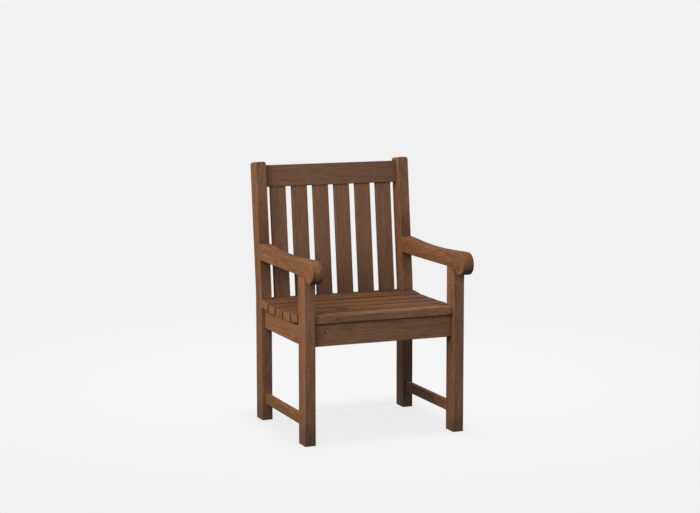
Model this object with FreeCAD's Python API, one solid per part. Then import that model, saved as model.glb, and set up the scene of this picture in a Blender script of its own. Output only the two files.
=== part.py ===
import FreeCAD, Part
import math
import os
from FreeCAD import Placement, Rotation, Vector

# Wooden garden armchair with a raked back of upright slats, a dished seat of cross slats
# and arms that end in a rolled scroll. Millimetres, +Z up, the front faces -Y and left is -X.
# The origin lies on the floor, in the middle of the chair's width and depth.

# Overall sizes
overall_width = 578.0
overall_height = 905.0
base_depth = 476.0
arm_overhang = 73.5
back_rake_angle = math.radians(6.08)

# Legs
leg_width = 38.5
front_leg_depth = 58.0
rear_leg_depth = 58.5
knee_height = 450.0
knee_round = 150.0
post_top_round = 10.0

# Arms: their depth at the post and at the dip, and the middle of the scroll over the underside
arm_underside_height = 564.2
arm_rear_depth = 58.3
arm_dip_depth = 48.2
scroll_radius = 37.9
scroll_rise = 18.9
scroll_throat_round = 7.0
# Points of the arm's top outline between the post and the crown of the scroll: the share of
# that reach, and the share of the crown's height over the dip
arm_top_shares = ((0.11, 0.98), (0.30, 0.28), (0.53, 0.0), (0.77, 0.40))

# Back: its rails and slats stand behind the front faces of the posts, and the gap beside a post
# is a share of the gap between two slats
back_rail_height = 76.5
back_rail_thickness = 24.0
back_set_back = 23.0
top_rail_drop = 12.0
lower_rail_top_height = 428.0
back_slat_count = 6
end_gap_share = 0.95
back_slat_width = 57.4
back_slat_thickness = 15.0

# Seat frame
apron_underside_height = 327.7
front_apron_thickness = 21.0
side_apron_thickness = 16.0
bearer_thickness = 24.0
bearer_underside_height = 350.0

# Seat slats
seat_front_height = 431.5
seat_dip = 9.0
seat_slat_width = 60.0
seat_slat_gap = 11.6
seat_slat_thickness = 27.5
front_slat_set_back = 11.0
front_slat_nose = 5.0
# Heights of the front and rear top edge of each slat, from the front one to the rear one,
# as shares of the dip over its lowest place
seat_height_shares = ((1.0, 1.0), (1.0, 0.12), (0.12, 0.0), (0.0, 0.02), (0.02, 0.12), (0.25, 0.85))

# Side stretchers
stretcher_underside_height = 59.0
stretcher_height = 36.0
stretcher_thickness = 16.0

# Mortise and tenon joints
rail_tenon_length = 20.0
rail_tenon_thickness = 9.0
side_tenon_length = 20.0
side_tenon_thickness = 8.0
tenon_shoulder = 7.0
half_tenon_spacing = 4.0
arm_tenon_length = 22.0
arm_tenon_shoulder = 10.0
leg_top_tenon_length = 28.0
leg_top_tenon_thickness = 14.0
slat_tenon_length = 18.0
slat_tenon_thickness = 8.0
slat_tenon_shoulder = 6.0
bearer_tenon_length = 10.0
joint_clearance = 0.15
tenon_tip_clearance = 0.8

# Pegs
peg_radius = 4.0
rail_peg_length = 40.0
side_peg_length = 29.0
peg_shoulder_distance = 6.5
peg_tip_chamfer = 1.0
peg_clearance = 0.04

# Screws and plugs
seat_screw_length = 45.0
arm_screw_length = 60.0
screw_shank_radius = 2.25
screw_head_radius = 4.25
screw_head_depth = 3.2
screw_tip_length = 6.0
screw_recess_width = 1.2
screw_recess_length = 4.6
screw_recess_depth = 1.6
screw_clearance = 0.1
plug_radius = 5.0
plug_depth = 8.0
plug_clearance = 0.04
screw_pair_spacing = 30.0
front_screw_end_distance = 35.0

# Finish of the timber
edge_round = 2.0
slat_edge_round = 2.0
arm_edge_round = 3.0
foot_chamfer = 0.8

# One length that carries every cut past the face that it starts from
overrun = 5.0

# Places that follow from the sizes above
half_width = overall_width / 2
inner_x = half_width - leg_width
side_x = half_width - leg_width / 2
rake_sin, rake_cos = math.sin(back_rake_angle), math.cos(back_rake_angle)
rake_slope = rake_sin / rake_cos
post_depth = rear_leg_depth * rake_cos
top_edge_loss = edge_round * (rake_sin + rake_cos - 1)
post_length = (overall_height + top_edge_loss - knee_height - post_depth / 2 * rake_sin) / rake_cos
back_overhang = post_length * rake_sin + post_depth / 2 * rake_cos - rear_leg_depth / 2 - top_edge_loss
overall_depth = arm_overhang + base_depth + back_overhang
front_y = arm_overhang - overall_depth / 2
rear_y = front_y + base_depth
front_leg_rear_y = front_y + front_leg_depth
front_leg_mid_y = front_y + front_leg_depth / 2
rear_leg_front_y = rear_y - rear_leg_depth
rear_leg_mid_y = rear_y - rear_leg_depth / 2
arm_rear_height = arm_underside_height + arm_rear_depth
arm_dip_height = arm_underside_height + arm_dip_depth
scroll_height = arm_underside_height + scroll_rise
seat_low_height = seat_front_height - seat_dip
apron_top_height = seat_front_height - seat_slat_thickness
lower_rail_bottom_height = lower_rail_top_height - back_rail_height

# Frame of the raked back: its origin is the middle of the posts at the knee, Z runs up the rake
back_frame = Placement(
    Vector(0, rear_leg_mid_y, knee_height),
    Rotation(Vector(1, 0, 0), -math.degrees(back_rake_angle)))
back_mid = back_set_back + (back_rail_thickness - post_depth) / 2
top_rail_top = post_length - top_rail_drop
top_rail_bottom = top_rail_top - back_rail_height
lower_rail_reach = (lower_rail_top_height - knee_height + back_mid * rake_sin) / rake_cos
lower_rail_mid_y = rear_leg_mid_y + back_mid * rake_cos + lower_rail_reach * rake_sin
lower_rail_front_y = lower_rail_mid_y - back_rail_thickness / 2


# Shapes that several pieces share
def block(x, y, z):
    """A box from its spans along X, Y and Z."""
    return Part.makeBox(x[1] - x[0], y[1] - y[0], z[1] - z[0], Vector(x[0], y[0], z[0]))


def about(middle, size):
    """The span of a size about its middle."""
    return (middle - size / 2, middle + size / 2)


def socket(x, y, z, way):
    """The hole for a tenon with these spans. The way is the tenon's axis, as -X, +X, -Y and so on."""
    spans = [(low - joint_clearance, high + joint_clearance) for low, high in (x, y, z)]
    axis = "XYZ".index(way[1])
    low, high = (x, y, z)[axis]
    if way[0] == "+":
        spans[axis] = (low - overrun, high + tenon_tip_clearance)
    else:
        spans[axis] = (low - tenon_tip_clearance, high + overrun)
    return block(*spans)


def yz_prism(edges, x):
    """A closed outline in the YZ plane at X = 0, carried along a span of X."""
    face = Part.Face(Part.Wire(Part.sortEdges(edges)[0]))
    face.translate(Vector(x[0], 0, 0))
    return face.extrude(Vector(x[1] - x[0], 0, 0))


def polyline(points):
    """Straight edges through points given as (y, z)."""
    corners = [Vector(0, y, z) for y, z in points]
    return [Part.makeLine(a, b) for a, b in zip(corners, corners[1:])]


def middle_of(edge):
    return edge.valueAt((edge.FirstParameter + edge.LastParameter) / 2)


def is_sharp(shape, edge):
    """True where the two faces beside an edge don't run smoothly into each other."""
    normals = []
    for face in shape.ancestorsOfType(edge, Part.Face):
        u, v = face.Surface.parameter(middle_of(edge))
        normals.append(face.normalAt(u, v))
    return len(normals) == 2 and normals[0].getAngle(normals[1]) > math.radians(15)


def eased(shape, radius, chosen):
    """Rounds the sharp edges whose middle point is chosen."""
    edges = [edge for edge in shape.Edges if chosen(middle_of(edge)) and is_sharp(shape, edge)]
    return shape.makeFillet(radius, edges)


def same(a, b):
    """True for two places that lie on one plane, within a hundredth of an edge's rounding."""
    return abs(a - b) < edge_round / 100


def mirrored(shape):
    return shape.mirror(Vector(0, 0, 0), Vector(1, 0, 0))


def moved_by(placement, shape):
    moved = shape.copy()
    moved.Placement = placement.multiply(moved.Placement)
    return moved


def raked(shape):
    """Moves a shape out of the frame of the back."""
    return moved_by(back_frame, shape)


# Rear legs, each cut in one piece with the post of the back
def post_front_y(z):
    """The front face of the rear legs at a height over the knee."""
    return rear_leg_front_y + (z - knee_height) * rake_slope


def knee_bend(side):
    """The front (-1) or rear (1) face of a rear leg: upright, an arc at the knee, raked to the top."""
    turn = Vector(0, rear_leg_mid_y + side * rear_leg_depth / 2, knee_height)
    top = back_frame.multVec(Vector(0, side * post_depth / 2, post_length))
    half_angle = back_rake_angle / 2
    reach = knee_round * math.tan(half_angle)
    start = turn - Vector(0, 0, reach)
    end = turn + (top - turn).normalize() * reach
    sagitta = knee_round / math.cos(half_angle) - knee_round
    middle = turn + Vector(0, math.cos(half_angle), -math.sin(half_angle)) * sagitta
    edges = [
        Part.makeLine(Vector(0, turn.y, 0), start),
        Part.Arc(start, middle, end).toShape(),
        Part.makeLine(end, top)]
    return edges, top


def rear_leg():
    """The right rear leg with its mortises and peg holes. Its top is cut square to the rake."""
    front, front_top = knee_bend(-1)
    rear, rear_top = knee_bend(1)
    ends = polyline([(rear_leg_front_y, 0), (rear_y, 0)]) + [Part.makeLine(front_top, rear_top)]
    leg = yz_prism(front + rear + ends, (inner_x, half_width))
    top_z = (front_top.z + rear_top.z) / 2
    leg = eased(leg, post_top_round, lambda p: same(p.z, top_z) and not same(p.x, side_x))
    leg = eased(leg, edge_round, lambda p: not same(p.z, 0))
    leg = leg.makeChamfer(foot_chamfer, [edge for edge in leg.Edges if same(middle_of(edge).z, 0)])
    cuts = [socket(*spans, way) for spans, way in (
        (lower_rail_tenon(), "+X"),
        (side_apron_tenon("rear"), "+Y"),
        (stretcher_tenon("rear"), "+Y"),
        (arm_tenon(), "+Y"))]
    cuts.append(raked(socket(*top_rail_tenon(), "+X")))
    holes = peg_holes() + [at_arm_screw(screw_bore(arm_screw_length))]
    return leg.cut(Part.makeCompound(cuts)).cut(Part.makeCompound(holes))


# Front legs
def leg_top_tenon():
    depth = front_leg_depth - 2 * arm_tenon_shoulder
    top = arm_underside_height + leg_top_tenon_length
    return about(side_x, leg_top_tenon_thickness), about(front_leg_mid_y, depth), (arm_underside_height, top)


def front_leg():
    """The right front leg, with a tenon on top for the arm."""
    leg = block((inner_x, half_width), (front_y, front_leg_rear_y), (0, arm_underside_height))
    ends = (0, arm_underside_height)
    leg = eased(leg, edge_round, lambda p: not any(same(p.z, end) for end in ends))
    leg = leg.makeChamfer(foot_chamfer, [edge for edge in leg.Edges if same(middle_of(edge).z, 0)])
    leg = leg.fuse(block(*leg_top_tenon()))
    cuts = [socket(*spans, way) for spans, way in (
        (front_apron_tenon(), "+X"),
        (side_apron_tenon("front"), "-Y"),
        (stretcher_tenon("front"), "-Y"))]
    return leg.cut(Part.makeCompound(cuts)).cut(Part.makeCompound(peg_holes()))


# Arms
def arm_tenon():
    """The spans of the tenon on the arm's rear end, which goes into the post."""
    z = (arm_underside_height + arm_tenon_shoulder, arm_rear_height - arm_tenon_shoulder)
    start = post_front_y(z[0])
    return about(side_x, leg_top_tenon_thickness), (start, post_front_y(z[1]) + arm_tenon_length), z


def arm_outline():
    """The side view of an arm: dipped top, rolled scroll, flat underside and raked rear end."""
    centre = Vector(0, front_y - arm_overhang + scroll_radius, scroll_height)
    crown = centre + Vector(0, 0, scroll_radius)
    top_rear = Vector(0, post_front_y(arm_rear_height), arm_rear_height)
    under_rear = Vector(0, post_front_y(arm_underside_height), arm_underside_height)
    reach = top_rear.y - crown.y
    rise = crown.z - arm_dip_height
    between = [
        Vector(0, top_rear.y - far * reach, arm_dip_height + high * rise)
        for far, high in arm_top_shares]
    top = Part.BSplineCurve()
    forward = Vector(0, -reach, 0)
    top.interpolate(Points=[top_rear, *between, crown], InitialTangent=forward, FinalTangent=forward)
    drop = scroll_height - arm_underside_height + scroll_throat_round
    span = scroll_radius + scroll_throat_round
    throat = centre + Vector(0, math.sqrt(span ** 2 - drop ** 2), -drop)
    throat_top = throat + Vector(0, 0, scroll_throat_round)
    throat_end = throat + (centre - throat).normalize() * scroll_throat_round
    halfway = ((throat_top - throat).normalize() + (throat_end - throat).normalize()).normalize()
    nose = centre - Vector(0, scroll_radius, 0)
    return [
        top.toShape(),
        Part.Arc(crown, nose, throat_end).toShape(),
        Part.Arc(throat_end, throat + halfway * scroll_throat_round, throat_top).toShape(),
        Part.makeLine(throat_top, under_rear),
        Part.makeLine(under_rear, top_rear)]


def arm():
    """The right arm."""
    stick = yz_prism(arm_outline(), (inner_x, half_width))
    stick = eased(
        stick, arm_edge_round, lambda p: not same(p.x, side_x) and not same(p.y, post_front_y(p.z)))
    x, y, z = arm_tenon()
    tenon = block(x, (y[0] - overrun, y[1]), z)
    stick = stick.fuse(tenon).cut(socket(*leg_top_tenon(), "+Z"))
    return stick.cut(at_arm_screw(screw_bore(arm_screw_length)))


# Cross rails: front apron, lower back rail and top rail. The tenons of the lower two take their
# upper half, over the tenons of the side aprons
def middle(span):
    return (span[0] + span[1]) / 2


def upper_half(bottom, top):
    return (middle((bottom, top)) + half_tenon_spacing / 2, top - tenon_shoulder)


def front_apron_tenon():
    """The spans of the tenon on the right end of the front apron."""
    x = (inner_x, inner_x + rail_tenon_length)
    z = upper_half(apron_underside_height, apron_top_height)
    return x, about(front_leg_mid_y, rail_tenon_thickness), z


def lower_rail_tenon():
    """The spans of the tenon on the right end of the lower back rail."""
    x = (inner_x, inner_x + rail_tenon_length)
    z = upper_half(lower_rail_bottom_height, lower_rail_top_height)
    return x, about(lower_rail_mid_y, rail_tenon_thickness), z


def top_rail_tenon():
    """The spans of the tenon on the right end of the top rail, in the frame of the back."""
    x = (inner_x, inner_x + rail_tenon_length)
    z = (top_rail_bottom + tenon_shoulder, top_rail_top - tenon_shoulder)
    return x, about(back_mid, rail_tenon_thickness), z


def with_end_tenons(rail, spans):
    """A rail with this tenon on its right end and the same on its left end."""
    x, y, z = spans
    tenon = block((x[0] - overrun, x[1]), y, z)
    return rail.fuse([tenon, mirrored(tenon)])


def along_rail(p):
    """Chooses the long edges of a rail, and not those of its ends."""
    return not same(abs(p.x), inner_x)


def front_apron():
    y = about(front_leg_mid_y, front_apron_thickness)
    rail = block((-inner_x, inner_x), y, (apron_underside_height, apron_top_height))
    rail = eased(rail, edge_round, along_rail)
    rail = with_end_tenons(rail, front_apron_tenon())
    cuts = [socket(*bearer_tenon("front"), "-Y")] + screw_bores()
    cuts += peg_holes() + [mirrored(hole) for hole in peg_holes()]
    return rail.cut(Part.makeCompound(cuts))


def lower_back_rail():
    """The rail that stands behind the seat and takes the lower ends of the back slats."""
    y = about(lower_rail_mid_y, back_rail_thickness)
    rail = block((-inner_x, inner_x), y, (lower_rail_bottom_height, lower_rail_top_height))
    rail = eased(rail, edge_round, along_rail)
    rail = with_end_tenons(rail, lower_rail_tenon())
    cuts = [socket(*bearer_tenon("rear"), "+Y")]
    cuts += peg_holes() + [mirrored(hole) for hole in peg_holes()]
    for x in back_slat_places():
        cuts.append(raked(socket(*slat_tenon(x, "lower"), "-Z")))
    return rail.cut(Part.makeCompound(cuts))


def top_rail():
    rail = block((-inner_x, inner_x), about(back_mid, back_rail_thickness), (top_rail_bottom, top_rail_top))
    rail = eased(rail, edge_round, along_rail)
    rail = with_end_tenons(rail, top_rail_tenon())
    rail = rail.cut(Part.makeCompound([socket(*slat_tenon(x, "upper"), "+Z") for x in back_slat_places()]))
    return raked(rail).cut(Part.makeCompound(peg_holes() + [mirrored(hole) for hole in peg_holes()]))


# Back slats
def back_slat_places():
    """The middle of each back slat, from left to right."""
    room = 2 * inner_x - back_slat_count * back_slat_width
    pitch = back_slat_width + room / (back_slat_count - 1 + 2 * end_gap_share)
    return [(number - (back_slat_count - 1) / 2) * pitch for number in range(back_slat_count)]


def slat_tenon(x, end):
    """The spans of a back slat's tenon, in the frame of the back."""
    width = about(x, back_slat_width - 2 * slat_tenon_shoulder)
    z = {
        "lower": (lower_rail_reach - slat_tenon_length, lower_rail_reach),
        "upper": (top_rail_bottom, top_rail_bottom + slat_tenon_length)}[end]
    return width, about(back_mid, slat_tenon_thickness), z


def back_slat(x):
    """One back slat, raked, with its lower shoulder level on the lower rail."""
    lower, upper = slat_tenon(x, "lower"), slat_tenon(x, "upper")
    low_z = lower[2][1] - overrun
    slat = block(about(x, back_slat_width), about(back_mid, back_slat_thickness), (low_z, top_rail_bottom))
    ends = (low_z, top_rail_bottom)
    slat = eased(slat, slat_edge_round, lambda p: not any(same(p.z, end) for end in ends))
    under = block(about(x, overall_width), (front_y, rear_y), (0, lower_rail_top_height))
    tenons = [
        block(lower[0], lower[1], (lower[2][0], lower[2][1] + overrun)),
        block(upper[0], upper[1], (upper[2][0] - overrun, upper[2][1]))]
    return raked(slat).cut(under).fuse([raked(tenon) for tenon in tenons])


# Seat slats
def seat_slat_frames():
    """Place, tilt and width of each seat slat's section, from the front slat to the rear one."""
    slats = []
    for front_share, rear_share in reversed(seat_height_shares[1:]):
        rise = (rear_share - front_share) * seat_dip
        tilt = math.asin(rise / seat_slat_width)
        top_z = seat_low_height + (front_share + rear_share) / 2 * seat_dip
        half_reach = (seat_slat_width * math.cos(tilt) + seat_slat_thickness * abs(math.sin(tilt))) / 2
        y = slats[-1]["y"] - seat_slat_width - seat_slat_gap if slats else rear_leg_front_y - half_reach
        z = top_z - math.cos(tilt) * seat_slat_thickness / 2
        slats.append({"y": y, "z": z, "tilt": tilt, "width": seat_slat_width})
    front_edge = front_y + front_slat_set_back
    rear_edge = slats[-1]["y"] - seat_slat_width / 2 - seat_slat_gap
    z = apron_top_height + seat_slat_thickness / 2
    slats.append({"y": (front_edge + rear_edge) / 2, "z": z, "tilt": 0, "width": rear_edge - front_edge})
    return slats[::-1]


def placed(shape, slat):
    """Moves a shape from a slat's own frame, with its origin in the middle of the section."""
    tilt = Rotation(Vector(1, 0, 0), math.degrees(slat["tilt"]))
    return moved_by(Placement(Vector(0, slat["y"], slat["z"]), tilt), shape)


def underside(slat):
    """The two lower corners of a slat's section, as (y, z)."""
    corners = []
    for side in (-1, 1):
        y, z = side * slat["width"] / 2, -seat_slat_thickness / 2
        cos, sin = math.cos(slat["tilt"]), math.sin(slat["tilt"])
        corners.append((slat["y"] + y * cos - z * sin, slat["z"] + y * sin + z * cos))
    return corners


def seat_slat(number):
    """One seat slat. The front one fits between the front legs, the others reach over their width."""
    slat = seat_slat_frames()[number]
    half_length = inner_x - joint_clearance if number == 0 else half_width
    y, z = about(0, slat["width"]), about(0, seat_slat_thickness)
    board = block((-half_length, half_length), y, z)
    if number == 0:
        board = eased(board, front_slat_nose, lambda p: same(p.y, y[0]) and same(p.z, z[1]))
    board = placed(eased(board, slat_edge_round, lambda p: True), slat)
    return board.cut(Part.makeCompound(screw_bores(number)))


# Side aprons and the middle bearer, whose tops follow the undersides of the slats
def seat_carrier_outline(front, rear, bottom, slats):
    """Outline of a rail under the slats, between two places along Y."""
    top = [corner for slat in slats for corner in underside(slat)]
    inside = [(y, z) for y, z in top if front < y < rear and not same(y, rear)]
    points = [(front, bottom), (front, inside[0][1]), *inside, (rear, top[-1][1]), (rear, bottom)]
    return polyline(points + points[:1])


def side_apron_tenon(end):
    """The spans of a side apron's tenon. It takes the lower half, under the cross rail's tenon."""
    y = {
        "front": (front_leg_rear_y - side_tenon_length, front_leg_rear_y),
        "rear": (rear_leg_front_y, rear_leg_front_y + side_tenon_length)}[end]
    apron_mid_height = middle((apron_underside_height, apron_top_height))
    z = (apron_underside_height + tenon_shoulder, apron_mid_height - half_tenon_spacing / 2)
    return about(side_x, side_tenon_thickness), y, z


def with_long_tenons(rail, tenon_of):
    """A front-to-back rail with its front and rear tenon."""
    x, y, z = tenon_of("front")
    front = block(x, (y[0], y[1] + overrun), z)
    x, y, z = tenon_of("rear")
    return rail.fuse([front, block(x, (y[0] - overrun, y[1]), z)])


def side_apron():
    """The right side apron."""
    outline = seat_carrier_outline(
        front_leg_rear_y, rear_leg_front_y, apron_underside_height, seat_slat_frames()[1:])
    rail = yz_prism(outline, about(side_x, side_apron_thickness))
    rail = eased(rail, edge_round, lambda p: same(p.z, apron_underside_height) and not same(p.x, side_x))
    rail = with_long_tenons(rail, side_apron_tenon)
    return rail.cut(Part.makeCompound(peg_holes() + screw_bores()))


def bearer_tenon(end):
    rear = front_leg_mid_y + front_apron_thickness / 2
    y = {
        "front": (rear - bearer_tenon_length, rear),
        "rear": (lower_rail_front_y, lower_rail_front_y + bearer_tenon_length)}[end]
    z = (bearer_underside_height + tenon_shoulder, seat_low_height - seat_slat_thickness - tenon_shoulder)
    return about(0, side_tenon_thickness), y, z


def seat_bearer():
    front = front_leg_mid_y + front_apron_thickness / 2
    outline = seat_carrier_outline(front, lower_rail_front_y, bearer_underside_height, seat_slat_frames())
    rail = yz_prism(outline, about(0, bearer_thickness))
    rail = eased(rail, edge_round, lambda p: same(p.z, bearer_underside_height) and not same(p.x, 0))
    return with_long_tenons(rail, bearer_tenon).cut(Part.makeCompound(screw_bores()))


# Side stretchers
def stretcher_tenon(end):
    x, y, _ = side_apron_tenon(end)
    top = stretcher_underside_height + stretcher_height
    return x, y, (stretcher_underside_height + tenon_shoulder, top - tenon_shoulder)


def side_stretcher():
    """The right side stretcher."""
    z = (stretcher_underside_height, stretcher_underside_height + stretcher_height)
    rail = block(about(side_x, stretcher_thickness), (front_leg_rear_y, rear_leg_front_y), z)
    ends = (front_leg_rear_y, rear_leg_front_y)
    rail = eased(rail, edge_round, lambda p: not any(same(p.y, end) for end in ends))
    return with_long_tenons(rail, stretcher_tenon).cut(Part.makeCompound(peg_holes()))


# Wooden pegs that lock the tenons of the right side
def peg_rod(length, radius, chamfer):
    """A rod from the origin along +Z, with a chamfered far end."""
    rod = Part.makeCylinder(radius, length)
    if chamfer:
        tip = [edge for edge in rod.Edges if edge.isClosed() and same(middle_of(edge).z, length)]
        rod = rod.makeChamfer(chamfer, tip)
    return rod


def driven(rod, start, way):
    """Puts a rod's near end at the start, pointing along the way."""
    return moved_by(Placement(start, Rotation(Vector(0, 0, 1), way)), rod)


def rail_peg_places():
    """Starts and ways of the long pegs, on the rear faces of the right legs."""
    x = inner_x + peg_shoulder_distance
    back = Vector(0, -1, 0)
    places = [
        (Vector(x, front_leg_rear_y, middle(front_apron_tenon()[2])), back),
        (Vector(x, rear_y, middle(lower_rail_tenon()[2])), back)]
    low, high = top_rail_tenon()[2]
    for height in (low + (high - low) / 4, high - (high - low) / 4):
        start = back_frame.multVec(Vector(x, post_depth / 2, height))
        places.append((start, back_frame.Rotation.multVec(back)))
    return places


def side_peg_places():
    """Starts of the short pegs, on the inner faces of the right legs."""
    points = []
    for tenon in (side_apron_tenon, stretcher_tenon):
        for end in ("front", "rear"):
            _, y, z = tenon(end)
            points.append((middle(y), middle(z)))
    return [(Vector(inner_x, y, z), Vector(1, 0, 0)) for y, z in points]


def pegs(places, length):
    """The pegs at these places of the right side and their mirror images."""
    rod = peg_rod(length, peg_radius, peg_tip_chamfer)
    right = [driven(rod, start, way) for start, way in places]
    return Part.makeCompound(right + [mirrored(peg) for peg in right])


def peg_holes():
    """The holes of every peg of the right side."""
    holes = []
    for places, length in ((rail_peg_places(), rail_peg_length), (side_peg_places(), side_peg_length)):
        rod = peg_rod(length + overrun + tenon_tip_clearance, peg_radius + peg_clearance, 0)
        holes += [driven(rod, start - way * overrun, way) for start, way in places]
    return holes


# Screws of the seat slats and the arms, and the plugs over their heads
def screw_places():
    """Slat number and place along X and Y, in the slat's own frame, of every screw."""
    places = []
    slats = seat_slat_frames()
    front_x = inner_x - front_screw_end_distance
    apron_y = front_leg_mid_y - slats[0]["y"]
    places += [(0, share * front_x, apron_y) for share in (-1, -1 / 3, 1 / 3, 1)]
    bearer_front_y = front_leg_mid_y + front_apron_thickness / 2 - slats[0]["y"]
    places.append((0, 0, (bearer_front_y + slats[0]["width"] / 2) / 2))
    for number in range(1, len(slats)):
        places.append((number, 0, 0))
        for x in (-side_x, side_x):
            places += [(number, x, y) for y in about(0, screw_pair_spacing)]
    return places


def turned(profile):
    """A solid of revolution about Z from (radius, z) points that start and end on the axis."""
    points = [Vector(r, 0, z) for r, z in profile]
    face = Part.Face(Part.makePolygon(points + points[:1]))
    return face.revolve(Vector(0, 0, 0), Vector(0, 0, 1), 360)


def screw(length):
    """A countersunk screw with a cross recess, its head's top at the origin, pointing down."""
    body = turned((
        (0, 0), (screw_head_radius, 0), (screw_shank_radius, -screw_head_depth),
        (screw_shank_radius, screw_tip_length - length), (0, -length)))
    across, along = about(0, screw_recess_width), about(0, screw_recess_length)
    depth = (-screw_recess_depth, overrun)
    return body.cut([block(across, along, depth), block(along, across, depth)])


def screw_bore(length):
    """The space that a screw of this length and its plug take in the wood."""
    shank, head = screw_shank_radius + screw_clearance, screw_head_radius + screw_clearance
    mouth = plug_radius + plug_clearance
    return turned((
        (0, plug_depth + overrun), (mouth, plug_depth + overrun), (mouth, 0), (head, 0),
        (shank, -screw_head_depth), (shank, -length - tenon_tip_clearance),
        (0, -length - tenon_tip_clearance)))


def at_screws(shape, only=None):
    """Copies of a shape at the top of every screw, or at those of one slat."""
    slats = seat_slat_frames()
    copies = []
    for number, x, y in screw_places():
        if only is None or number == only:
            copy = shape.copy()
            copy.translate(Vector(x, y, seat_slat_thickness / 2 - plug_depth))
            copies.append(placed(copy, slats[number]))
    return copies


def screw_bores(only=None):
    return at_screws(screw_bore(seat_screw_length), only)


def at_arm_screw(shape):
    """A copy at the screw that runs from the rear face of the right post into the arm's tenon."""
    _, y, z = arm_tenon()
    height = back_frame.inverse().multVec(Vector(0, middle(y), middle(z))).z
    start = Vector(side_x, post_depth / 2 - plug_depth, height)
    return raked(driven(shape, start, Vector(0, 1, 0)))


def screw_plug():
    return Part.makeCylinder(plug_radius, plug_depth)


def all_pieces():
    """Every piece under its name."""
    pieces = {}
    for name, make in (
            ("rear_leg", rear_leg), ("front_leg", front_leg), ("arm", arm),
            ("side_apron", side_apron), ("side_stretcher", side_stretcher)):
        right = make()
        pieces[name + "_right"] = right
        pieces[name + "_left"] = mirrored(right)
    pieces["top_rail"] = top_rail()
    pieces["front_apron"] = front_apron()
    pieces["lower_back_rail"] = lower_back_rail()
    pieces["seat_bearer"] = seat_bearer()
    for number, x in enumerate(back_slat_places()):
        pieces[f"back_slat_{number + 1}"] = back_slat(x)
    for number in range(len(seat_height_shares)):
        pieces[f"seat_slat_{number + 1}"] = seat_slat(number)
    pieces["rail_pegs"] = pegs(rail_peg_places(), rail_peg_length)
    pieces["side_pegs"] = pegs(side_peg_places(), side_peg_length)
    arm_screw, arm_plug = at_arm_screw(screw(arm_screw_length)), at_arm_screw(screw_plug())
    pieces["seat_screws"] = Part.makeCompound(at_screws(screw(seat_screw_length)))
    pieces["arm_screws"] = Part.makeCompound([arm_screw, mirrored(arm_screw)])
    pieces["screw_plugs"] = Part.makeCompound(at_screws(screw_plug()) + [arm_plug, mirrored(arm_plug)])
    return pieces


os.makedirs("parts", exist_ok=True)
for name, piece in all_pieces().items():
    piece.exportStep(os.path.join("parts", name + ".step"))
    print(name, len(piece.Solids), "solids,", round(piece.Volume), "mm3, valid:", piece.isValid())
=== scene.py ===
import bmesh
import bpy
import math
import random
from mathutils import Euler, Matrix, Vector, geometry


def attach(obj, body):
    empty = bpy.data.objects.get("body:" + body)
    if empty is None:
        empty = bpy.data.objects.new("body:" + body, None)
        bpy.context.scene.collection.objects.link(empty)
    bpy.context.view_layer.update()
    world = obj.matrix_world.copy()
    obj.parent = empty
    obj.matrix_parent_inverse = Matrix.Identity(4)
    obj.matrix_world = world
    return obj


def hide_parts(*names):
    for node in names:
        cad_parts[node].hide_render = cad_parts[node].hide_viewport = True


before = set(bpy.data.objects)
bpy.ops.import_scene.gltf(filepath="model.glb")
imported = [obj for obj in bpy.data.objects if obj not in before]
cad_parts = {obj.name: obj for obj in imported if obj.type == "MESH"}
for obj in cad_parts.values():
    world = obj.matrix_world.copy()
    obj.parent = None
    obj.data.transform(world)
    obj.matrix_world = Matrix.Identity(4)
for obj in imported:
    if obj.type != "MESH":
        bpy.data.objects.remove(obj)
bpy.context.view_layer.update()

# Wooden garden armchair: raked back of upright slats, dished seat of cross slats, arms that end
# in a rolled scroll. Metres, +Z up, the front faces -Y and left is -X. The sections follow the
# chair as it is put together: the two side frames, the cross rails, the back, the seat, the plugs.

# The view: from the front and the left of the chair, at a standing person's height, looking a
# little down. The long lens keeps the legs nearly upright.
view = bpy.data.objects.new("view", bpy.data.cameras.new("view"))
view.data.sensor_width = 36.0
view.data.lens = 89.37
view.data.clip_end = 100.0
eye = (-2.28309, -5.43580, 1.39660)
looks_down, turned_right, roll = 0.1361, 0.3921, -0.0015
view_turn = Euler((math.pi / 2 - looks_down, 0, -turned_right)).to_matrix()
view_turn = view_turn @ Matrix.Rotation(roll, 3, "Z")
view.matrix_world = Matrix.Translation(eye) @ view_turn.to_4x4()
bpy.context.scene.collection.objects.link(view)
bpy.context.scene.camera = view
bpy.context.scene.view_settings.view_transform = "Standard"


# The studio: a pale floor that runs out into a pale surrounding. Both look pale to the eye and in
# the sheen of the wood. To the eye the floor is mostly a painted glow, brighter round the chair as a
# painted pool of light; a matt share of it keeps its shadow. It throws little light back, so
# undersides stay dark.
def add_node(tree, kind, inputs=(), **settings):
    """Adds a shader node. An input is given as a value, or as the socket that feeds it."""
    made = tree.nodes.new("ShaderNode" + kind)
    for name, value in settings.items():
        setattr(made, name, value)
    for name, value in dict(inputs).items():
        if isinstance(value, bpy.types.NodeSocket):
            tree.links.new(value, made.inputs[name])
        else:
            made.inputs[name].default_value = value
    return made


def seen_directly(tree):
    """1 for what the eye sees, straight or in a gloss, and 0 for light between surfaces."""
    path = add_node(tree, "LightPath").outputs
    gloss = add_node(tree, "Math", {
        0: path["Is Glossy Ray"], 1: path["Is Transmission Ray"]}, operation="MAXIMUM")
    either = add_node(
        tree, "Math", {0: path["Is Camera Ray"], 1: gloss.outputs[0]}, operation="MAXIMUM")
    return either.outputs[0]


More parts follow.
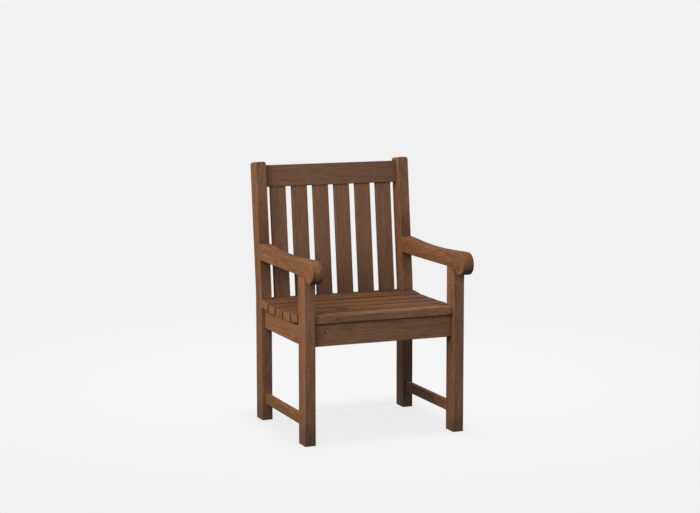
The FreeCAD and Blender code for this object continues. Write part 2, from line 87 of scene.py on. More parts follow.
far_tone, glow_near_chair = (0.880, 0.880, 0.886, 1.0), (0.985, 0.985, 0.988, 1.0)
surrounding = bpy.data.worlds.new("pale_surrounding")
bpy.context.scene.world = surrounding
surrounding.use_nodes = True
tree = surrounding.node_tree
tree.nodes.clear()
soft_sky = add_node(tree, "Background", {"Color": (0.98, 1.01, 1.08, 1.0), "Strength": 0.42})
pale_wall = add_node(tree, "Background", {"Color": far_tone, "Strength": 1.0})
mixed = add_node(
    tree, "MixShader", {0: seen_directly(tree), 1: soft_sky.outputs[0], 2: pale_wall.outputs[0]})
add_node(tree, "OutputWorld", {"Surface": mixed.outputs[0]})

floor_paint = bpy.data.materials.new("pale_floor")
floor_paint.use_nodes = True
tree = floor_paint.node_tree
tree.nodes.clear()
place = add_node(tree, "TexCoord").outputs["Object"]
bright_x, bright_y, bright_reach = 0.25, 0.75, 2.0
shrink = 1 / bright_reach
near = add_node(tree, "Mapping", {
    "Vector": place, "Scale": (shrink, shrink, 0),
    "Location": (-shrink * bright_x, -shrink * bright_y, 0)})
spread = add_node(tree, "TexGradient", {"Vector": near.outputs[0]}, gradient_type="SPHERICAL")
round_chair = add_node(
    tree, "MapRange", {"Value": spread.outputs["Fac"]}, interpolation_type="SMOOTHSTEP").outputs[0]
tone = add_node(tree, "ValToRGB", {"Fac": round_chair})
tone.color_ramp.elements[0].color = far_tone
tone.color_ramp.elements[1].color = glow_near_chair
# The glow that the eye sees, painted brighter round the chair as a pool of light
pale = add_node(tree, "Emission", {"Color": tone.outputs[0], "Strength": 1.0})
matt = add_node(tree, "BsdfDiffuse", {"Color": (0.9, 0.9, 0.9, 1.0)})
shadow_share = 0.26
share = add_node(tree, "Math", {0: round_chair, 1: shadow_share}, operation="MULTIPLY")
look = add_node(tree, "MixShader", {0: share.outputs[0], 1: pale.outputs[0], 2: matt.outputs[0]})
thrown_back = add_node(tree, "BsdfDiffuse", {"Color": (0.05, 0.05, 0.05, 1.0)})
mixed = add_node(
    tree, "MixShader", {0: seen_directly(tree), 1: thrown_back.outputs[0], 2: look.outputs[0]})
add_node(tree, "OutputMaterial", {"Surface": mixed.outputs[0]})

bm = bmesh.new()
bmesh.ops.create_grid(bm, x_segments=1, y_segments=1, size=20.0)
bmesh.ops.translate(bm, vec=(0, 0, -0.0002), verts=bm.verts)
floor_mesh = bpy.data.meshes.new("floor")
bm.to_mesh(floor_mesh)
bm.free()
floor_mesh.materials.append(floor_paint)
floor = bpy.data.objects.new("floor", floor_mesh)
bpy.context.scene.collection.objects.link(floor)

# Soft square lamps, a little warmer than the sky. Three light the chair alone: one high in front on
# the left, one straight from the left, and a low weak one behind on the right. A fourth, high
# overhead, lights the floor alone, and leaves the seat's shadow there.
floor_only = bpy.data.collections.new("floor_only")
floor_only.objects.link(floor)
all_but_floor = bpy.data.collections.new("all_but_floor")
all_but_floor.objects.link(floor)
all_but_floor.collection_objects[0].light_linking.link_state = "EXCLUDE"
aim = Vector((0, 0, 0.35))
for name, lit, place, width, power in (
        ("front_left_lamp", all_but_floor, (-1.848, -1.664, 2.078), 1.8, 45.3),
        ("left_lamp", all_but_floor, (-2.598, 0.0, 1.900), 1.8, 47.0),
        ("rear_right_lamp", all_but_floor, (2.2, 1.9, 0.560), 1.0, 28.0),
        ("overhead_lamp", floor_only, (0.0, 0.0, 6.0), 0.9, 165.0)):
    lamp = bpy.data.lights.new(name, "AREA")
    lamp.size = width
    lamp.energy = power
    lamp.color = (1.0, 0.99, 0.96)
    lamp_object = bpy.data.objects.new(name, lamp)
    lamp_object.location = place
    lamp_object.visible_camera = False
    lamp_object.light_linking.receiver_collection = lit
    lamp_object.rotation_euler = (aim - Vector(place)).to_track_quat("-Z", "Y").to_euler()
    bpy.context.scene.collection.objects.link(lamp_object)


# Front legs: straight squared sticks of oiled hardwood, sawn with the grain upright, edges eased
# and the foot's rim chamfered. Their tops are tenoned into the arms. The feet are painted darker.
def sawn_stick(low, high):
    """A squared stick of timber between two corners."""
    bm = bmesh.new()
    bmesh.ops.create_cube(bm, size=1.0)
    low, high = Vector(low), Vector(high)
    bmesh.ops.scale(bm, vec=high - low, verts=bm.verts)
    bmesh.ops.translate(bm, vec=(low + high) / 2, verts=bm.verts)
    return bm


def ease(bm, width, chosen=lambda middle: True, steps=3):
    """Rounds the sharp edges whose middle is chosen, as with a router and sandpaper."""
    edges = [
        edge for edge in bm.edges
        if edge.calc_face_angle(0) > 0.6 and chosen((edge.verts[0].co + edge.verts[1].co) / 2)]
    bmesh.ops.bevel(
        bm, geom=edges, offset=width, offset_type="OFFSET", affect="EDGES", segments=steps,
        profile=0.5, material=-1)


def joined_in(bm, name, finish):
    """Turns a worked shape into a piece in the scene, with its rounded edges shaded smooth."""
    bmesh.ops.recalc_face_normals(bm, faces=bm.faces)
    mesh = bpy.data.meshes.new(name)
    bm.to_mesh(mesh)
    bm.free()
    mesh.shade_smooth()
    mesh.materials.append(finish)
    piece = bpy.data.objects.new(name, mesh)
    bpy.context.scene.collection.objects.link(piece)
    piece.modifiers.new("flats_stay_flat", "WEIGHTED_NORMAL")
    return piece


def oiled_hardwood(
        name, grain, middle, tone=1.0, darker_below=None, knots=(), curl=None, figure=1.0,
        joint_shade=(0.012, 0.48), painted_shade=None):
    """Oiled reddish-brown hardwood, with the grain along a direction through a middle point.

    Growth rings run round a heart beside the piece, so that the long faces show stripes and the
    ends show arcs. Tone makes the whole piece darker or paler, and figure is how lively the grain
    is. The rest, where given:
    darker_below - the height below which the wood is painted darker, the one above which it is not,
    the share and the colour
    knots - each one's middle, its reach along each axis and its darkness; the fibres part round it
    curl - the Y and Z of a place in front that the fibres turn down round
    joint_shade - how far the painted shade of the joints and gaps reaches, and its share
    painted_shade - faces painted darker in part, as shade: the way they look, an axis and a place
    on it, how far off that place they are unshaded and how far off dark, the share and the colour
    """
    chance = random.Random(name)
    finish = bpy.data.materials.new("oiled_hardwood_" + name)
    finish.use_nodes = True
    tree = finish.node_tree
    tree.nodes.clear()
    # Places in the log: X runs up the log, Y and Z are measured from its heart
    slant = 0.02
    lean = Euler((
        chance.uniform(0, 6.28), chance.uniform(-slant, slant), chance.uniform(-slant, slant)))
    turn = lean.to_matrix() @ Vector(grain).rotation_difference(Vector((1, 0, 0))).to_matrix()
    heart = Matrix.Rotation(chance.uniform(0, 6.28), 3, "X")
    heart = heart @ Vector((0, chance.uniform(0.05, 0.11), 0))
    shift = heart + Vector((chance.uniform(-3, 3), 0, 0)) - turn @ Vector(middle)
    place = add_node(tree, "TexCoord").outputs["Object"]

    def math_node(operation, first, second, third=0.0):
        made = add_node(tree, "Math", {0: first, 1: second, 2: third}, operation=operation)
        return made.outputs[0]

    def vector_node(operation, first, second, third=(0, 0, 0)):
        made = add_node(tree, "VectorMath", {0: first, 1: second, 2: third}, operation=operation)
        return made.outputs["Value" if operation == "DOT_PRODUCT" else "Vector"]

    def ramp(value, low, high, bottom=0.0, top=1.0):
        return add_node(tree, "MapRange", {
            "Value": value, "From Min": low, "From Max": high, "To Min": bottom, "To Max": top},
            interpolation_type="SMOOTHSTEP").outputs[0]

    def away_from(spot, reach):
        scaled = vector_node("DIVIDE", vector_node("SUBTRACT", place, spot), reach)
        return add_node(tree, "VectorMath", {0: scaled}, operation="LENGTH").outputs["Value"]

    flow = place
    if curl:
        x, y, z = add_node(tree, "SeparateXYZ", {0: place}).outputs
        ahead = math_node("MINIMUM", math_node("SUBTRACT", y, curl[0]), 0.0)
        above = math_node("SUBTRACT", z, curl[1])
        turned = math_node("SQRT", math_node("MULTIPLY_ADD", above, above, math_node(
            "MULTIPLY", ahead, ahead)), 0.0)
        flow = add_node(tree, "CombineXYZ", {0: x, 1: y, 2: turned}).outputs[0]
        flow = vector_node("ADD", flow, (0, 0, curl[1]))
    for spot, reach, dark in knots:
        parting = ramp(away_from(spot, [4 * r + 0.006 for r in reach]), 1.0, 0.0, 0.0, -0.75)
        parting = add_node(tree, "CombineXYZ", {0: parting, 1: parting, 2: parting}).outputs[0]
        flow = vector_node("MULTIPLY_ADD", vector_node("SUBTRACT", place, spot), parting, flow)
    log = add_node(tree, "Mapping", {
        "Vector": flow, "Location": shift, "Rotation": turn.to_euler()}).outputs[0]

    def stretched(along):
        return add_node(tree, "Mapping", {"Vector": log, "Scale": (along, 1, 1)}).outputs[0]

    def noise(vector, scale, detail, roughness=0.5):
        return add_node(tree, "TexNoise", {
            "Vector": vector, "Scale": scale, "Detail": detail, "Roughness": roughness}).outputs

    # Growth rings that sway along the log
    sway = vector_node("SUBTRACT", noise(stretched(0.25), 14.0, 2.0)["Color"], (0.5, 0.5, 0.5))
    swayed = vector_node("MULTIPLY_ADD", sway, (0, 0.014, 0.014), stretched(0.2))
    rings = add_node(tree, "TexWave", {
        "Vector": swayed, "Scale": chance.uniform(42, 60), "Distortion": 3.5, "Detail": 3.0,
        "Detail Scale": 1.0}, wave_type="RINGS", rings_direction="X",
        wave_profile="SIN").outputs["Fac"]
    # Fibres, specks, clouds and broad bands of tone, and the short dark lines of the open pores
    fibres = noise(stretched(0.045), 300.0, 3.0, 0.6)["Fac"]
    specks = noise(stretched(0.45), 260.0, 2.0, 0.6)["Fac"]
    clouds = noise(stretched(0.4), 60.0, 3.0, 0.6)["Fac"]
    bands = noise(stretched(0.06), 24.0, 2.0)["Fac"]
    pores = ramp(noise(stretched(0.06), 1000.0, 1.0)["Fac"], 0.58, 0.68)
    flecks = ramp(noise(stretched(0.14), 420.0, 1.0)["Fac"], 0.60, 0.72)
    depth = math_node("MULTIPLY_ADD", rings, -0.08, 0.04)
    for part, weight in ((fibres, 0.85), (specks, 0.55), (clouds, 0.30), (bands, 0.35)):
        depth = math_node("MULTIPLY_ADD", math_node("SUBTRACT", part, 0.5), weight * figure, depth)
    colour = add_node(tree, "ValToRGB", {"Fac": math_node("ADD", depth, 0.5)})
    colour.color_ramp.elements[0].position = 0.30
    colour.color_ramp.elements[0].color = (0.119, 0.0507, 0.0215, 1)
    colour.color_ramp.elements[1].position = 0.72
    colour.color_ramp.elements[1].color = (0.320, 0.1360, 0.0576, 1)
    half = colour.color_ramp.elements.new(0.50)
    half.color = (0.216, 0.0918, 0.0389, 1)
    colour = colour.outputs[0]

    def tinted(colour, factor, tint, blend="MIX"):
        return add_node(
            tree, "Mix", {0: factor, 6: colour, 7: (*tint, 1)}, data_type="RGBA",
            blend_type=blend).outputs[2]

    pale_fleck, open_pore = (0.318, 0.163, 0.080), (0.062, 0.030, 0.016)
    colour = tinted(colour, 1.0, (tone, tone, tone), "MULTIPLY")
    colour = tinted(colour, math_node("MULTIPLY", flecks, 0.35), pale_fleck)
    colour = tinted(colour, math_node("MULTIPLY", pores, 0.40), open_pore)
    # Handling has worn the edges paler
    rounded = add_node(tree, "Bevel", {"Radius": 0.003}, samples=6).outputs[0]
    facing = add_node(tree, "NewGeometry").outputs["Normal"]
    worn = ramp(vector_node("DOT_PRODUCT", rounded, facing), 0.995, 0.90)
    worn = math_node("MULTIPLY", worn, ramp(noise(place, 45.0, 2.0)["Fac"], 0.35, 0.6, 0.25, 0.6))
    worn_edge = (0.300, 0.145, 0.066)
    colour = tinted(colour, worn, worn_edge)
    # The faces that look forward are painted a little greyer, as a painted sheen, less on the arms.
    # The undersides are painted darker and greyer, as painted shade, most of all under the scrolls.
    painted_sheen_share, underside_shade_share = (0.03, 0.8) if curl else (0.095, 0.4)
    painted_sheen_grey, underside_shade_grey = (0.26, 0.288, 0.275), (0.078, 0.080, 0.068)
    painted_sheen = ramp(vector_node("DOT_PRODUCT", facing, (0, -1, 0)), 0.3, 0.9, 0.0, painted_sheen_share)
    colour = tinted(colour, painted_sheen, painted_sheen_grey)
    dulled = ramp(vector_node("DOT_PRODUCT", facing, (0, 0, -1)), 0.25, 0.75, 0.0, underside_shade_share)
    colour = tinted(colour, dulled, underside_shade_grey)
    # Painted shade darkens the joints and the gaps, as far as ambient occlusion reaches
    reach, most = joint_shade
    crevice = add_node(tree, "AmbientOcclusion", {"Distance": reach}, samples=8).outputs["AO"]
    colour = tinted(colour, ramp(crevice, 0.90, 0.40, 0.0, most), (0.20, 0.18, 0.17), "MULTIPLY")
    # Painted darker below a height; on the back slats and the right rear leg this is painted shade
    if darker_below:
        height = add_node(tree, "SeparateXYZ", {0: place}).outputs["Z"]
        dark_below, plain_above, darkening_share, darkening_colour = darker_below
        colour = tinted(colour, ramp(height, dark_below, plain_above, darkening_share, 0.0), darkening_colour)
    # Painted shade on part of the faces that look one way, near a place along an axis
    if painted_shade:
        outward, axis, start, unshaded_off, dark_off, shade_share, shade_colour = painted_shade
        along = add_node(tree, "SeparateXYZ", {0: place}).outputs[axis]
        apart = math_node("ABSOLUTE", math_node("SUBTRACT", along, start), 0.0)
        shade_mask = ramp(vector_node("DOT_PRODUCT", facing, outward), 0.5, 0.9, 0.0, shade_share)
        shade_mask = math_node("MULTIPLY", shade_mask, ramp(apart, unshaded_off, dark_off))
        colour = tinted(colour, shade_mask, shade_colour)
    for spot, reach, dark in knots:
        ragged = math_node("SUBTRACT", noise(stretched(0.3), 130.0, 3.0, 0.6)["Fac"], 0.5)
        ragged = math_node("MULTIPLY_ADD", ragged, 1.1, away_from(spot, reach))
        near_black = (0.020, 0.010, 0.006)
        colour = tinted(colour, ramp(ragged, 1.0, 0.35, 0.0, dark), near_black)

    height = math_node("MULTIPLY_ADD", fibres, 0.7, math_node("MULTIPLY", rings, 0.1))
    height = math_node("MULTIPLY_ADD", pores, -0.6, height)
    relief = add_node(tree, "Bump", {"Height": height, "Strength": 0.35, "Distance": 0.0006})
    sheen = math_node("MULTIPLY_ADD", fibres, 0.3, 0.64)
    sheen = math_node("MULTIPLY_ADD", pores, 0.15, sheen)
    surface = add_node(tree, "BsdfPrincipled", {
        "Base Color": colour, "Roughness": sheen, "Normal": relief.outputs[0],
        "Specular IOR Level": 0.12})
    add_node(tree, "OutputMaterial", {"Surface": surface.outputs[0]})
    return finish


# The legs' inner and outer faces, the middle between them, and the place their grain is set from
inner_x, outer_x, middle_x, grain_x = 0.2505, 0.2890, 0.26975, 0.27
leg_front, leg_back, arm_underside = -0.225065, -0.167065, 0.5642
eased, foot_chamfer = 0.002, 0.0008
darker_foot = (0.02, 0.10, 0.45, (0.050, 0.040, 0.034))
for side, hand in ((-1, "left"), (1, "right")):
    name = "front_leg_" + hand
    x = sorted((side * inner_x, side * outer_x))
    bm = sawn_stick((x[0], leg_front, 0.0), (x[1], leg_back, arm_underside))
    ease(bm, eased, lambda middle: 0.01 < middle.z < 0.56)
    ease(bm, foot_chamfer, lambda middle: middle.z < 0.01, 1)
    tone = 1.06 if side < 0 else 1.15
    finish = oiled_hardwood(name, (0, 0, 1), (side * grain_x, -0.196, 0.3), tone, darker_foot)
    leg = joined_in(bm, "leg_front_" + hand, finish)
    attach(leg, "root")
    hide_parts(name)

# Rear legs: each is sawn from one board with the post of the back, upright to the knee at seat
# height and raked above it. The top is cut square to the rake and its side corners are rounded.
# Painted shade darkens the front faces round the height of the arms, and the feet are darker.
def lengthened(bm, faces, reach):
    """Draws a stick on from its end faces, and gives its new end faces."""
    made = bmesh.ops.extrude_face_region(bm, geom=faces)["geom"]
    if len(bm.faces) > 6:
        bmesh.ops.delete(bm, geom=faces, context="FACES_ONLY")
    corners = [item for item in made if isinstance(item, bmesh.types.BMVert)]
    bmesh.ops.translate(bm, vec=reach, verts=corners)
    return [item for item in made if isinstance(item, bmesh.types.BMFace)]


rake = math.radians(6.08)
knee = Vector((0, 0.221685, 0.450))
up_the_back = Vector((0, math.sin(rake), math.cos(rake)))
post_depth, post_length = 0.0585, 0.45468
bend, bend_steps = 0.150, 4
bend_start = knee.z - bend * math.tan(rake / 2)
pivot = Vector((0, knee.y + bend, bend_start))
# The colour of the painted shade on the posts and the seat slats
shade_brown = (0.076, 0.031, 0.014)
for side, hand in ((-1, "left"), (1, "right")):
    name = "rear_leg_" + hand
    x = sorted((side * inner_x, side * outer_x))
    bm = bmesh.new()
    bmesh.ops.create_grid(bm, x_segments=1, y_segments=1, size=0.5)
    bmesh.ops.scale(bm, vec=(x[1] - x[0], post_depth, 1), verts=bm.verts)
    bmesh.ops.translate(bm, vec=(sum(x) / 2, knee.y, 0), verts=bm.verts)
    top = lengthened(bm, bm.faces[:], (0, 0, bend_start))
    part_turn = Matrix.Rotation(-rake / bend_steps, 3, "X")
    for _ in range(bend_steps):
        top = lengthened(bm, top, (0, 0, 0))
        corners = list({vert for face in top for vert in face.verts})
        bmesh.ops.rotate(bm, cent=pivot, matrix=part_turn, verts=corners)
    lengthened(bm, top, up_the_back * (post_length - bend * math.tan(rake / 2)))
    bmesh.ops.remove_doubles(bm, verts=bm.verts, dist=0.00001)
    ease(bm, 0.010, lambda middle: middle.z > 0.89 and abs(abs(middle.x) - middle_x) > 0.01, 6)
    ease(bm, eased, lambda middle: middle.z > 0.01)
    ease(bm, foot_chamfer, lambda middle: middle.z < 0.01, 1)
    if side < 0:
        tone, unshaded_off, shade_share, darker_below = 0.97, 0.24, 0.60, darker_foot
        knots = [((-0.2545, 0.2175, 0.6895), (0.003, 0.006, 0.006), 0.55),
                 ((-0.2720, 0.2175, 0.6950), (0.010, 0.006, 0.003), 0.30)]
    else:
        tone, unshaded_off, shade_share, knots = 1.05, 0.15, 0.52, ()
        # Painted shadow: the right leg is painted darker and greyer up to about 0.30 m
        darker_below = (0.10, 0.30, 0.60, (0.080, 0.078, 0.072))
    finish = oiled_hardwood(
        name, (0, 0.05, 1), (side * grain_x, 0.24, 0.45), tone, darker_below, knots,
        painted_shade=((0, -1, 0), "Z", 0.60, unshaded_off, 0.03, shade_share, shade_brown))
    post = joined_in(bm, "leg_and_post_" + hand, finish)
    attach(post, "root")
    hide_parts(name)

# Side stretchers: light rails low down between the front and rear leg of each side, tenoned into
# both legs before the side frame is glued up. The right one's inner face has painted shadow at the
# rear.
rail_inner_x, rail_outer_x, post_front = 0.26175, 0.27775, 0.192435
for side, hand in ((-1, "left"), (1, "right")):
    name = "side_stretcher_" + hand
    x = sorted((side * rail_inner_x, side * rail_outer_x))
    bm = sawn_stick((x[0], leg_back, 0.0590), (x[1], post_front, 0.0950))
    ease(bm, eased, lambda middle: -0.16 < middle.y < 0.19)
    ease(bm, 0.0005, steps=1)
    tone, painted_shade = 0.93, None
    if side > 0:
        tone = 1.10
        # Painted shadow over the rear part of the right one's inner face
        painted_shade = ((-1, 0, 0), "Y", 0.192, 0.250, 0.235, 0.65, (0.060, 0.058, 0.052))
    finish = oiled_hardwood(name, (0, 1, 0), (side * grain_x, 0.01, 0.077), tone, painted_shade=painted_shade)
    stretcher = joined_in(bm, "stretcher_" + hand, finish)
    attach(stretcher, "root")
    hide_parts(name)

# Side aprons: deeper rails that carry the ends of the seat slats. Their tops are sawn to follow
# the undersides of the slats, so each slat lies on its own flat. Tenoned into the legs.
apron_underside, apron_top = 0.3277, 0.4040
slat_width, slat_thickness = 0.0600, 0.0275
# Middle of each slat's section behind the front one, from front to rear, and its tilt
dished_slats = (
    ((-0.12508, 0.41391), -7.585), ((-0.05348, 0.40929), -1.031), ((0.01812, 0.40884), 0.172),
    ((0.08972, 0.40938), 0.859), ((0.16132, 0.41376), 5.164))
for side, hand in ((-1, "left"), (1, "right")):
    name = "side_apron_" + hand
    x = sorted((side * rail_inner_x, side * rail_outer_x))
    bm = sawn_stick((x[0], leg_back, apron_underside), (x[1], post_front, apron_top))
    flats = []
    for (y, z), tilt in dished_slats:
        for edge in (-slat_width / 2, slat_width / 2):
            corner = Matrix.Rotation(math.radians(tilt), 2) @ Vector((edge, -slat_thickness / 2))
            flats.append((y + corner.x, z + corner.y))
    for y, z in flats[1:-1]:
        bmesh.ops.bisect_plane(
            bm, geom=bm.verts[:] + bm.edges[:] + bm.faces[:], plane_co=(0, y, 0),
            plane_no=(0, 1, 0))
    for vert in bm.verts:
        if vert.co.z > 0.40:
            nearest = min(flats, key=lambda flat: abs(flat[0] - vert.co.y))
            vert.co.z = nearest[1]
    ease(bm, eased, lambda middle: middle.z < 0.33 and -0.16 < middle.y < 0.19)
    finish = oiled_hardwood(name, (0, 1, 0), (side * grain_x, 0.01, 0.36), joint_shade=(0.005, 0.35))
    apron = joined_in(bm, "side_apron_under_" + hand, finish)
    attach(apron, "root")
    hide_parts(name)

# Arms: each is band-sawn from one thick board, dipped in the middle and rolled over into a scroll
# in front of the leg. Its sawn outline is rounded all along, more than the other pieces' edges.
def drawn_through(bm, end, places):
    """Draws an outline on from its end through more places, and gives its new end."""
    for place in places:
        end = bmesh.ops.extrude_vert_indiv(bm, verts=[end])["verts"][0]
        end.co = place
    return end


def drawn_round(bm, end, centre, angle, steps):
    """Draws an outline on round a centre in the YZ plane, and gives its new end."""
    made = bmesh.ops.spin(
        bm, geom=[end], cent=centre, axis=(1, 0, 0), dvec=(0, 0, 0), angle=angle, steps=steps,
        use_duplicate=False)["geom_last"]
    return [item for item in made if isinstance(item, bmesh.types.BMVert)][0]


arm_top = [Vector((0, y, z)) for y, z in (
    (-0.260665, 0.62100), (-0.15222, 0.61584), (-0.03907, 0.61240), (0.06937, 0.61481),
    (0.15895, 0.62083), (0.21081, 0.62250))]
scroll_middle = Vector((0, -0.260665, 0.58310))
throat_middle = Vector((0, -0.223990, 0.55720))
into_throat = math.atan2(0.02590, 0.036675)
arm_rear, throat_radius, arm_easing = 0.20460, 0.007, 0.003
for side, hand in ((-1, "left"), (1, "right")):
    name = "arm_" + hand
    bm = bmesh.new()
    end = bmesh.ops.create_vert(bm, co=(0, arm_rear, arm_underside))["vert"][0]
    end = drawn_through(bm, end, [throat_middle + Vector((0, 0, throat_radius))])
    end = drawn_round(bm, end, throat_middle, math.pi / 2 - into_throat, 6)
    end = drawn_round(bm, end, scroll_middle, into_throat - 1.5 * math.pi, 48)
    slopes = [Vector((0, 1, 0))]
    slopes += [(after - before).normalized() for before, after in zip(arm_top, arm_top[2:])]
    slopes += [Vector((0, 1, 0))]
    for number in range(len(arm_top) - 1):
        a, b = arm_top[number], arm_top[number + 1]
        third = (b - a).length / 3
        run = geometry.interpolate_bezier(
            a, a + slopes[number] * third, b - slopes[number + 1] * third, b, 7)
        end = drawn_through(bm, end, run[1:])
    bmesh.ops.contextual_create(bm, geom=bm.verts[:] + bm.edges[:])
    x = sorted((side * inner_x, side * outer_x))
    bmesh.ops.translate(bm, vec=(x[0], 0, 0), verts=bm.verts)
    made = bmesh.ops.extrude_face_region(bm, geom=bm.faces[:])["geom"]
    far = [item for item in made if isinstance(item, bmesh.types.BMVert)]
    bmesh.ops.translate(bm, vec=(x[1] - x[0], 0, 0), verts=far)
    bmesh.ops.recalc_face_normals(bm, faces=bm.faces)
    ease(bm, arm_easing, lambda middle: (
        middle.y < 0.20 and abs(abs(middle.x) - middle_x) > 0.01), 4)
    tone, knots = 1.0, ()
    if side > 0:
        tone, knots = 0.99, [((0.2505, -0.2610, 0.5672), (0.004, 0.0045, 0.004), 0.75)]
    finish = oiled_hardwood(
        name, (0, 1, 0), (side * grain_x, -0.03, 0.59), tone, knots=knots, curl=(-0.2610, 0.5675))
    arm = joined_in(bm, "armrest_" + hand, finish)
    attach(arm, "root")
    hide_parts(name)

# Front apron: the rail across the front, under the first seat slat, tenoned into both front legs
# and pegged from behind. A small dark knot sits in its face towards the left.
bm = sawn_stick((-inner_x, -0.206565, apron_underside), (inner_x, -0.185565, apron_top))
ease(bm, eased, lambda middle: abs(middle.x) < 0.25)
knots = [((-0.2090, -0.2066, 0.3726), (0.005, 0.004, 0.0045), 0.95)]
finish = oiled_hardwood("front_apron", (1, 0, 0), (0, -0.196, 0.366), 1.15, knots=knots)
apron = joined_in(bm, "apron_across_front", finish)
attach(apron, "root")
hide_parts("front_apron")

# Lower back rail: stands behind the seat, a little under the top of the last slat, and takes the
# lower ends of the back slats in its mortises. Tenoned into the posts and pegged from behind.
lower_rail_top = 0.4280
bm = sawn_stick((-inner_x, 0.21329, 0.3515), (inner_x, 0.23729, lower_rail_top))
ease(bm, eased, lambda middle: abs(middle.x) < 0.25)
finish = oiled_hardwood("lower_back_rail", (1, 0, 0), (0, 0.225, 0.39))
rail = joined_in(bm, "rail_under_back", finish)
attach(rail, "root")
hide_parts("lower_back_rail")

# Seat bearer: a hidden rail from front to rear under the middle of the slats. It is seen only from
# below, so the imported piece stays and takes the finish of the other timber.
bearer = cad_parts["seat_bearer"]
bearer.data.materials.clear()
bearer.data.materials.append(oiled_hardwood("seat_bearer", (0, 1, 0), (0, 0.01, 0.38)))

# Back slats: six flat boards between the lower and the top rail, raked with the posts, their
# tenons in both rails. Each is sawn from another plank, so their tones differ a little. They are
# drawn in the back's own frame, which starts at the knee, and then raked and cut on the rail.
raked_frame = Matrix.Translation(knee) @ Matrix.Rotation(-rake, 4, "X")
back_middle, spacing, half_width, half_depth = 0.005914, 0.080096, 0.0287, 0.0075
for number in range(6):
    name = "back_slat_%d" % (number + 1)
    x = (number - 2.5) * spacing
    bm = sawn_stick(
        (x - half_width, back_middle - half_depth, -0.0300),
        (x + half_width, back_middle + half_depth, 0.3662))
    ease(bm, eased, lambda middle: -0.02 < middle.z < 0.36)
    bmesh.ops.transform(bm, matrix=raked_frame, verts=bm.verts)
    cut = bmesh.ops.bisect_plane(
        bm, geom=bm.verts[:] + bm.edges[:] + bm.faces[:], plane_co=(0, 0, lower_rail_top),
        plane_no=(0, 0, 1), clear_inner=True)["geom_cut"]
    cut_edges = [item for item in cut if isinstance(item, bmesh.types.BMEdge)]
    bmesh.ops.edgeloop_fill(bm, edges=cut_edges)
    tone = (0.99, 0.95, 0.93, 0.94, 0.96, 0.98)[number]
    # The lower ends are painted darker, as shade from the seat
    share = (0.05, 0.38, 0.40, 0.40, 0.40, 0.30)[number]
    darker_below = (0.43, 0.62, share, (0.065, 0.042, 0.032))
    finish = oiled_hardwood(name, up_the_back, (x, 0.24, 0.6), tone, darker_below, figure=0.75)
    slat = joined_in(bm, "upright_slat_%d" % (number + 1), finish)
    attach(slat, "root")
    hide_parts(name)

# Top rail: the board across the top of the back, let in between the posts a little under their
# tops. It takes the upper tenons of the slats and is pegged from behind with two pegs an end.
half_depth = 0.012
bm = sawn_stick(
    (-inner_x, back_middle - half_depth, 0.36618), (inner_x, back_middle + half_depth, 0.44268))
ease(bm, eased, lambda middle: abs(middle.x) < 0.25)
bmesh.ops.transform(bm, matrix=raked_frame, verts=bm.verts)
finish = oiled_hardwood("top_rail", (1, 0, 0), (0, 0.27, 0.85), 0.87, figure=0.75)
rail = joined_in(bm, "rail_across_top", finish)
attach(rail, "root")
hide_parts("top_rail")

# Seat slats: five boards lie across both side aprons in a shallow dish, their ends flush with the
# legs' outer faces. The front one fits between the legs, with a rounded nose over the apron. Their
# tops are painted darker towards the ends and in the gaps, as shade, and the third has a knot.
seat_top, nose_radius, slat_easing = 0.4315, 0.005, 0.0013
bm = sawn_stick((-0.25035, -0.214065, apron_top), (0.25035, -0.16668, seat_top))
ease(bm, nose_radius, lambda middle: (
    middle.y < -0.21 and middle.z > 0.43 and abs(middle.x) < 0.2), 5)
ease(bm, eased)
finish = oiled_hardwood("seat_slat_1", (1, 0, 0), (0, -0.19, 0.418), 1.40, joint_shade=(0.020, 0.48))
slat = joined_in(bm, "cross_slat_1", finish)
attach(slat, "root")
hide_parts("seat_slat_1")


def laid_in_dish(middle, tilt):
    """The place of a seat slat behind the front one."""
    return Matrix.Translation((0, *middle)) @ Matrix.Rotation(math.radians(tilt), 4, "X")


for number, (middle, tilt) in enumerate(dished_slats):
    name = "seat_slat_%d" % (number + 2)
    corner = Vector((outer_x, slat_width / 2, slat_thickness / 2))
    bm = sawn_stick(-corner, corner)
    ease(bm, slat_easing)
    bmesh.ops.transform(bm, matrix=laid_in_dish(middle, tilt), verts=bm.verts)
    tone = (1.05, 1.08, 1.06, 1.09, 1.14)[number]
    knots = [((-0.089, -0.064, 0.4236), (0.036, 0.027, 0.009), 0.93)] if number == 1 else ()
    # Painted shade darkens the gaps and the ends of the tops
    finish = oiled_hardwood(
        name, (1, 0, 0), (0, *middle), tone, knots=knots, joint_shade=(0.030, 1.00),
        painted_shade=((0, 0, 1), "X", 0.035, 0.09, 0.24, 0.40, shade_brown))
    slat = joined_in(bm, "cross_slat_%d" % (number + 2), finish)
    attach(slat, "root")
    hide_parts(name)

# Draw pegs: round hardwood pins, driven from behind through the tenons of the cross rails, and
# shorter ones from the inner faces through those of the aprons and stretchers. Their end grain
# stands a hair proud of the timber, with a rounded rim.
def driven_pins(bm, pins, radius, length):
    """Round pins, each driven in at a place on a face, against the way that the face looks."""
    proud = 0.0002
    for place, outward in pins:
        pin = bmesh.ops.create_cone(
            bm, cap_ends=True, segments=28, radius1=radius, radius2=radius, depth=length)["verts"]
        upright = Vector((0, 0, 1)).rotation_difference(outward).to_matrix().to_4x4()
        sunk = Matrix.Translation((0, 0, proud - length / 2))
        bmesh.ops.transform(bm, matrix=Matrix.Translation(place) @ upright @ sunk, verts=pin)
    rims = [edge for edge in bm.edges if any(len(face.verts) > 4 for face in edge.link_faces)]
    bmesh.ops.bevel(
        bm, geom=rims, offset=0.0004, offset_type="OFFSET", affect="EDGES", segments=2,
        profile=0.5, material=-1)


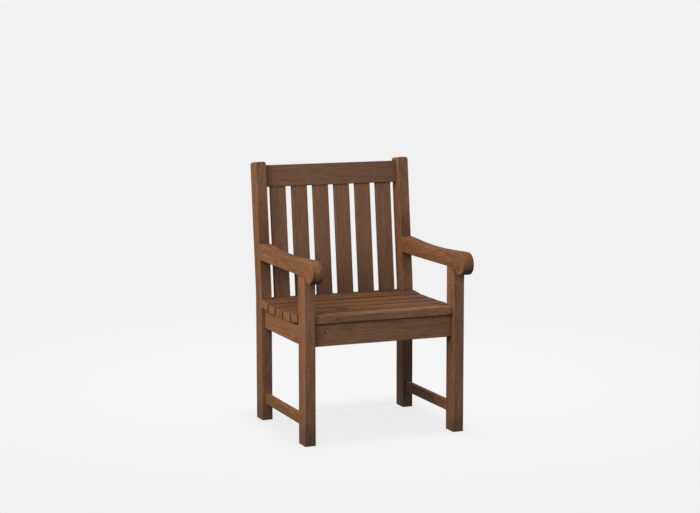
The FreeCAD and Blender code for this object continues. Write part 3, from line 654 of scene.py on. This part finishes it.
backwards = raked_frame.to_3x3() @ Vector((0, 1, 0))
peg_x, peg_radius, post_back = 0.257, 0.004, 0.02925
long_pins, short_pins = [], []
for side in (-1, 1):
    long_pins += [((side * peg_x, leg_back, 0.38242), Vector((0, 1, 0))),
                  ((side * peg_x, 0.250935, 0.40638), Vector((0, 1, 0)))]
    for height in (0.38880, 0.42007):
        long_pins.append((raked_frame @ Vector((side * peg_x, post_back, height)), backwards))
    for y, z in ((-0.177065, 0.34927), (0.202435, 0.34927), (-0.177065, 0.077), (0.202435, 0.077)):
        short_pins.append(((side * inner_x, y, z), Vector((-side, 0, 0))))
for node, name, pins, length, along in (
        ("rail_pegs", "draw_pegs_of_rails", long_pins, 0.040, (0, 1, 0)),
        ("side_pegs", "draw_pegs_of_sides", short_pins, 0.029, (1, 0, 0))):
    bm = bmesh.new()
    driven_pins(bm, pins, peg_radius, length)
    pegs = joined_in(bm, name, oiled_hardwood(node, along, (0, 0, 0.4), 0.60))
    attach(pegs, "root")
    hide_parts(node)

# Screws: countersunk brass screws hold the seat slats down and tie the arms to the posts. They
# sit under the plugs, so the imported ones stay, in brass that is dulled between fine turning marks.
brass = bpy.data.materials.new("turned_brass")
brass.use_nodes = True
tree = brass.node_tree
tree.nodes.clear()
place = add_node(tree, "TexCoord").outputs["Object"]
marks = add_node(tree, "TexNoise", {"Vector": place, "Scale": 900.0, "Detail": 2.0}).outputs["Fac"]
dulled = add_node(tree, "TexNoise", {"Vector": place, "Scale": 140.0, "Detail": 3.0}).outputs["Fac"]
colour = add_node(tree, "ValToRGB", {"Fac": dulled})
colour.color_ramp.elements[0].position = 0.35
colour.color_ramp.elements[0].color = (0.47, 0.31, 0.12, 1)
colour.color_ramp.elements[1].position = 0.60
colour.color_ramp.elements[1].color = (0.72, 0.55, 0.28, 1)
polish = add_node(tree, "MapRange", {"Value": dulled, "To Min": 0.55, "To Max": 0.20})
scored = add_node(tree, "Bump", {"Height": marks, "Strength": 0.2, "Distance": 0.0001})
surface = add_node(tree, "BsdfPrincipled", {
    "Base Color": colour.outputs[0], "Roughness": polish.outputs[0], "Normal": scored.outputs[0],
    "Metallic": 1.0})
add_node(tree, "OutputMaterial", {"Surface": surface.outputs[0]})
for node in ("seat_screws", "arm_screws"):
    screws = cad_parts[node]
    screws.data.materials.clear()
    screws.data.materials.append(brass)

# Plugs: short round buttons of the same timber over the screw heads, with their grain set along
# the slat or post that they close, and sanded nearly level.
plug_radius, plug_length, off_middle = 0.005, 0.008, 0.015
up = Vector((0, 0, 1))
buttons = [((x, -0.196065, seat_top), up) for x in (-0.2155, -0.07183, 0.07183, 0.2155)]
buttons.append(((0, -0.17612, seat_top), up))
for middle, tilt in dished_slats:
    lie = laid_in_dish(middle, tilt)
    for x, y in ((0, 0), (-middle_x, -off_middle), (-middle_x, off_middle), (middle_x, -off_middle),
                 (middle_x, off_middle)):
        buttons.append((lie @ Vector((x, y, slat_thickness / 2)), lie.to_3x3() @ up))
bm = bmesh.new()
driven_pins(bm, buttons, plug_radius, plug_length)
finish = oiled_hardwood("seat_plugs", (1, 0, 0), (0, 0, 0.42), 0.90)
plugs = joined_in(bm, "buttons_in_seat", finish)
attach(plugs, "root")
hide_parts("screw_plugs")
behind_arms = [
    (raked_frame @ Vector((side * middle_x, post_back, 0.1422)), backwards) for side in (-1, 1)]
bm = bmesh.new()
driven_pins(bm, behind_arms, plug_radius, plug_length)
finish = oiled_hardwood("post_plugs", (0, 0, 1), (0, 0.27, 0.6), 0.80)
plugs = joined_in(bm, "buttons_in_posts", finish)
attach(plugs, "root")
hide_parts("screw_plugs")
